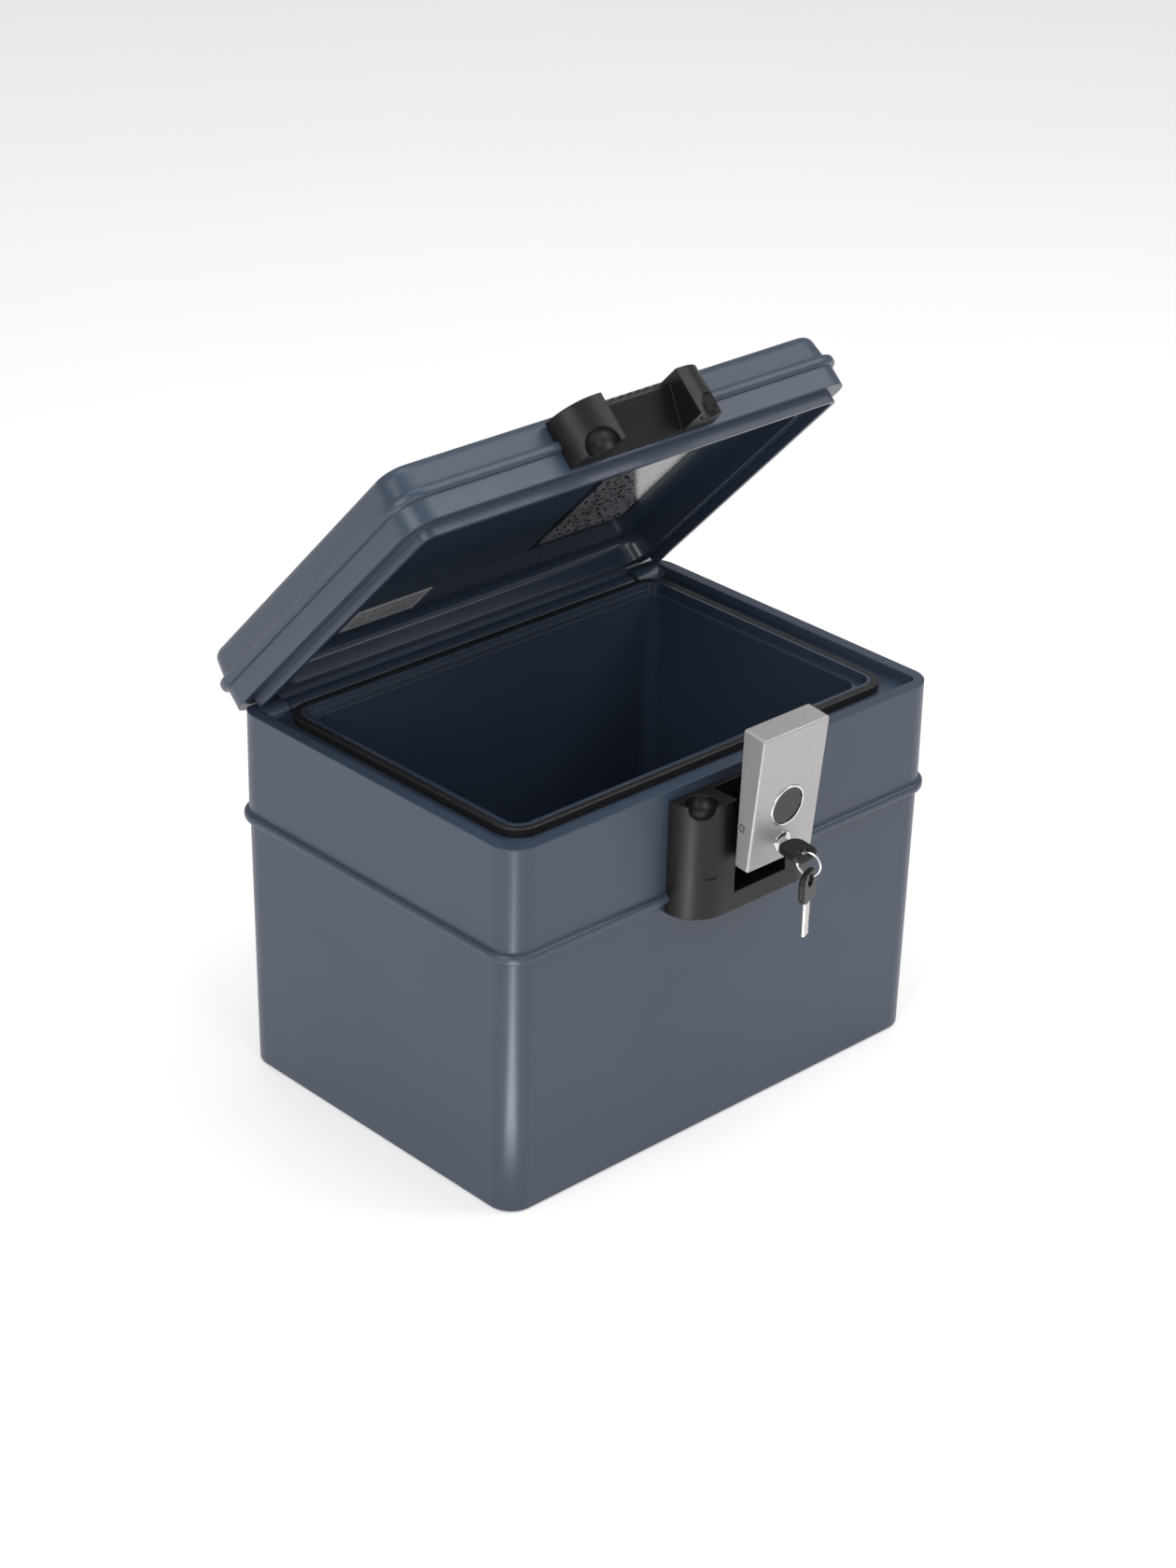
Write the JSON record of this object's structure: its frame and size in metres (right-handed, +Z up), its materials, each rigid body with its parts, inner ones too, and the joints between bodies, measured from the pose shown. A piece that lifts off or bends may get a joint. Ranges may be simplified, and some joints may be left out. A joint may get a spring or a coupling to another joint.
{
  "type": "fireproof document chest",
  "caption": "Insulated document chest with a hinged lid, gasketed rim, moulded handles and a swing-out lock with keys.",
  "frame": {"origin": "centre of the underside, on the surface that the chest stands on", "axes": "+X to the right, +Y from the lock to the hinges, +Z up"},
  "size_m": [0.4132, 0.4047, 0.5307],
  "materials": {
    "shell_plastic": "satin",
    "liner_plastic": "gloss",
    "handle_plastic": "satin",
    "gasket_rubber": "matte",
    "fire_fill": "matte",
    "case_metal": "satin",
    "steel": "brushed",
    "chrome": "polished",
    "sensor_black": "gloss",
    "board_green": "satin",
    "cell_wrap": "gloss",
    "label_paper": "matte",
    "label_dark": "satin"
  },
  "bodies": {
    "base": {"base_shell": "shell_plastic", "base_insulation": "fire_fill", "inner_liner": "liner_plastic", "rim_gasket": "gasket_rubber", "base_handle": "handle_plastic", "base_handle_screws": "steel", "latch_pivot_pin": "steel", "hinge_pin_left": "steel", "hinge_pin_right": "steel"},
    "lid": {"lid_shell": "shell_plastic", "lid_handle": "handle_plastic", "lid_handle_screws": "steel", "lid_liner": "liner_plastic", "lid_insulation": "fire_fill", "lid_label_small": "label_paper", "lid_label_large": "label_dark"},
    "latch": {"lock_case": "case_metal", "lock_back_plate": "handle_plastic", "latch_arm": "handle_plastic", "lock_case_screws": "steel", "sensor_ring": "chrome", "sensor_pad": "sensor_black", "sensor_board": "board_green", "lock_cylinder": "chrome", "battery_cell_left": "cell_wrap", "battery_cell_right": "cell_wrap"},
    "bolt": {"lock_bolt": "steel"},
    "plug": {"lock_plug": "chrome", "key_blade": "steel", "key_head": "handle_plastic"},
    "ring": {"key_ring": "chrome"},
    "spare_key": {"spare_key_blade": "steel", "spare_key_head": "handle_plastic"}
  },
  "joints": [
    {"name": "lid_hinge", "type": "hinge", "parent": "base", "child": "lid", "pos_m": [0, 0.136, 0.272], "axis": [-1, 0, 0], "range_deg": [-46.5, 53.5]},
    {"name": "latch_pivot", "type": "hinge", "parent": "base", "child": "latch", "pos_m": [0, -0.16, 0.236], "axis": [1, 0, 0], "range_deg": [-6.1, 24]},
    {"name": "key_turn", "type": "hinge", "parent": "latch", "child": "plug", "pos_m": [0, -0.19199, 0.24364], "axis": [0, -0.9943, -0.1063], "range_deg": [0, 90]},
    {"name": "bolt_lift", "type": "slide", "parent": "latch", "child": "bolt", "axis": [0, -0.1063, 0.9943], "range_m": [0, 0.006]},
    {"name": "ring_swing", "type": "hinge", "parent": "plug", "child": "ring", "pos_m": [0, -0.21755, 0.24091], "axis": [-0.9397, -0.342, 0], "range_deg": [-10, 10]},
    {"name": "spare_key_swing", "type": "hinge", "parent": "ring", "child": "spare_key", "pos_m": [0, -0.21755, 0.22747], "axis": [-0.342, 0.9397, 0], "range_deg": [-25, 25]}
  ],
  "couplings": [
    {"joint": "key_turn", "follows": "bolt_lift", "rad_per_m": 261.8}
  ]
}
